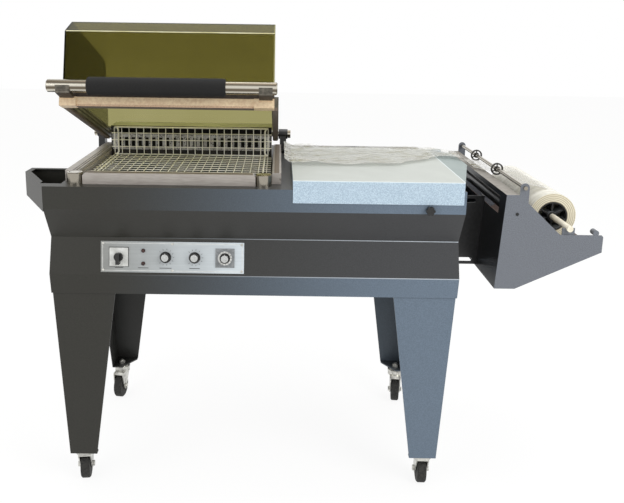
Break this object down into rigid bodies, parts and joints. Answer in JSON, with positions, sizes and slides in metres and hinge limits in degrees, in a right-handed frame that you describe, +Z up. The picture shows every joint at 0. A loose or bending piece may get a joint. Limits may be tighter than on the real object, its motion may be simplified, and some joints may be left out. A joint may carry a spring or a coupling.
{
  "type": "l bar sealer",
  "caption": "Free-standing L-bar shrink sealer with a hinged clear hood, wire tray, film table, film unwinder and legs on casters.",
  "frame": {"origin": "middle of the base: centre of the footprint of the whole machine, on the floor under the wheels", "axes": "+X from the scrap gutter to the film unwinder, -Y towards the operator and the control panel, +Z up"},
  "size_m": [1.445, 0.7114, 1.21],
  "materials": {
    "charcoal_paint": "satin powder coat",
    "hammer_paint": "light blue-grey hammer finish",
    "table_paint": "pale blue-grey hammer finish",
    "panel_paint": "silver-grey, satin",
    "black_paint": "satin",
    "duct_paint": "pale green, satin",
    "zinc": "zinc plated, slightly yellow",
    "steel": "ground",
    "galvanised": "galvanised sheet",
    "aluminium_profile": "anodised extrusion",
    "heating_band": "nichrome band under PTFE cloth",
    "ivory_coating": "plastic coated wire",
    "smoked_acrylic": "clear, tinted, gloss",
    "silicone_pad": "matt sponge",
    "foam": "closed-cell foam",
    "black_plastic": "matt",
    "white_plastic": "gloss",
    "lens": "translucent",
    "wheel_plastic": "hard rubber",
    "grey_plastic": "matt",
    "film": "clear shrink film",
    "film_wound": "wound film"
  },
  "bodies": {
    "frame": {"body_shell": "charcoal_paint", "rear_cover": "charcoal_paint", "side_gutter": "charcoal_paint", "base_pan": "charcoal_paint", "leg_front_left": "charcoal_paint", "leg_front_right": "charcoal_paint", "leg_back_left": "charcoal_paint", "leg_back_right": "charcoal_paint", "caster_heads": "zinc", "control_panel": "panel_paint", "switch_plate": "black_plastic", "indicator_lamps": "lens", "timer_bezel": "white_plastic", "chamber_tub": "galvanised", "heater_duct": "duct_paint", "perforated_screen": "galvanised", "heater_elements": "steel", "fan_motor": "steel", "lower_left_arm": "aluminium_profile", "lower_front_jaw": "aluminium_profile", "lower_right_jaw": "aluminium_profile", "seal_bands": "heating_band", "magnet_posts": "steel", "hinge_brackets": "black_paint", "film_table": "table_paint", "film_web": "film", "unwinder_side_plates": "hammer_paint", "unwinder_wrap": "hammer_paint", "unwinder_brackets": "black_paint", "perforator_rod": "steel"},
    "hood": {"hood_shell": "smoked_acrylic", "hood_arms": "aluminium_profile", "hood_front_jaw": "black_paint", "jaw_pads": "silicone_pad", "handle_tube": "steel", "handle_grip": "foam", "hinge_shaft": "steel"},
    "tray": {"mesh_tray": "ivory_coating"},
    "mode_switch": {"switch_handle": "black_plastic"},
    "temperature_dial": {"temperature_knob": "black_plastic"},
    "seal_time_dial": {"seal_time_knob": "black_plastic"},
    "timer_dial": {"timer_knob": "black_plastic"},
    "fan": {"fan_impeller": "galvanised"},
    "clamp": {"table_clamp": "black_plastic"},
    "front_perforator": {"perforator_wheel_front": "steel"},
    "back_perforator": {"perforator_wheel_back": "steel"},
    "idler": {"idler_roller": "black_paint"},
    "roll": {"roll_shaft": "steel", "roll_cones": "black_plastic", "film_roll": "film_wound"},
    "caster_front_left": {"caster_fork_front_left": "zinc"},
    "wheel_front_left": {"caster_wheel_front_left": "wheel_plastic"},
    "brake_front_left": {"caster_brake_front_left": "grey_plastic"},
    "caster_front_right": {"caster_fork_front_right": "zinc"},
    "wheel_front_right": {"caster_wheel_front_right": "wheel_plastic"},
    "brake_front_right": {"caster_brake_front_right": "grey_plastic"},
    "caster_back_left": {"caster_fork_back_left": "zinc"},
    "wheel_back_left": {"caster_wheel_back_left": "wheel_plastic"},
    "caster_back_right": {"caster_fork_back_right": "zinc"},
    "wheel_back_right": {"caster_wheel_back_right": "wheel_plastic"}
  },
  "joints": [
    {"name": "hood_hinge", "type": "hinge", "parent": "frame", "child": "hood", "pos_m": [-0.3295, 0.21365, 0.885], "axis": [1, 0, 0], "range_deg": [0, 17.4], "stiffness_Nm_per_rad": 35, "springref_deg": -35.52},
    {"name": "tray_lift", "type": "slide", "parent": "frame", "child": "tray", "axis": [0, 0, 1], "range_m": [0, 0.06]},
    {"name": "switch_turn", "type": "hinge", "parent": "frame", "child": "mode_switch", "pos_m": [-0.4585, -0.29896, 0.64571], "axis": [0, 0.987, -0.1609], "range_deg": [-60, 60]},
    {"name": "temperature_turn", "type": "hinge", "parent": "frame", "child": "temperature_dial", "pos_m": [-0.3435, -0.29896, 0.64571], "axis": [0, 0.987, -0.1609], "range_deg": [-120, 150]},
    {"name": "seal_time_turn", "type": "hinge", "parent": "frame", "child": "seal_time_dial", "pos_m": [-0.2715, -0.29896, 0.64571], "axis": [0, 0.987, -0.1609], "range_deg": [-120, 150]},
    {"name": "timer_turn", "type": "hinge", "parent": "frame", "child": "timer_dial", "pos_m": [-0.1965, -0.30192, 0.64619], "axis": [0, 0.987, -0.1609], "range_deg": [0, 300]},
    {"name": "fan_spin", "type": "hinge", "parent": "frame", "child": "fan", "pos_m": [-0.3155, -0.10635, 0.7095], "axis": [0, 0, 1], "continuous": true},
    {"name": "clamp_turn", "type": "hinge", "parent": "frame", "child": "clamp", "pos_m": [0.2935, -0.34135, 0.785], "axis": [0, -1, 0], "continuous": true},
    {"name": "front_perforator_spin", "type": "hinge", "parent": "frame", "child": "front_perforator", "pos_m": [0.5235, -0.06635, 0.837], "axis": [0, 1, 0], "continuous": true},
    {"name": "back_perforator_spin", "type": "hinge", "parent": "frame", "child": "back_perforator", "pos_m": [0.5235, 0.15865, 0.837], "axis": [0, 1, 0], "continuous": true},
    {"name": "idler_spin", "type": "hinge", "parent": "frame", "child": "idler", "pos_m": [0.5095, -0.19635, 0.772], "axis": [0, 1, 0], "continuous": true},
    {"name": "roll_spin", "type": "hinge", "parent": "frame", "child": "roll", "pos_m": [0.638, -0.19635, 0.7385], "axis": [0, 1, 0], "continuous": true},
    {"name": "swivel_front_left", "type": "hinge", "parent": "frame", "child": "caster_front_left", "pos_m": [-0.5765, -0.24935, 0.0957], "axis": [0, 0, 1], "continuous": true},
    {"name": "wheel_spin_front_left", "type": "hinge", "parent": "caster_front_left", "child": "wheel_front_left", "pos_m": [-0.57838, -0.23145, 0.0375], "axis": [-0.9945, -0.1045, 0], "continuous": true},
    {"name": "brake_front_left", "type": "hinge", "parent": "caster_front_left", "child": "brake_front_left", "pos_m": [-0.58026, -0.21355, 0.082], "axis": [-0.9945, -0.1045, 0], "range_deg": [0, 12]},
    {"name": "swivel_front_right", "type": "hinge", "parent": "frame", "child": "caster_front_right", "pos_m": [0.3295, -0.24935, 0.0957], "axis": [0, 0, 1], "continuous": true},
    {"name": "wheel_spin_front_right", "type": "hinge", "parent": "caster_front_right", "child": "wheel_front_right", "pos_m": [0.33013, -0.23136, 0.0375], "axis": [-0.9994, 0.0349, 0], "continuous": true},
    {"name": "brake_front_right", "type": "hinge", "parent": "caster_front_right", "child": "brake_front_right", "pos_m": [0.33076, -0.21337, 0.082], "axis": [-0.9994, 0.0349, 0], "range_deg": [0, 12]},
    {"name": "swivel_back_left", "type": "hinge", "parent": "frame", "child": "caster_back_left", "pos_m": [-0.5765, 0.25665, 0.0957], "axis": [0, 0, 1], "continuous": true},
    {"name": "wheel_spin_back_left", "type": "hinge", "parent": "caster_back_left", "child": "wheel_back_left", "pos_m": [-0.57932, 0.23887, 0.0375], "axis": [0.9877, -0.1564, 0], "continuous": true},
    {"name": "swivel_back_right", "type": "hinge", "parent": "frame", "child": "caster_back_right", "pos_m": [0.3295, 0.25665, 0.0957], "axis": [0, 0, 1], "continuous": true},
    {"name": "wheel_spin_back_right", "type": "hinge", "parent": "caster_back_right", "child": "wheel_back_right", "pos_m": [0.32762, 0.23875, 0.0375], "axis": [0.9945, -0.1045, 0], "continuous": true}
  ]
}
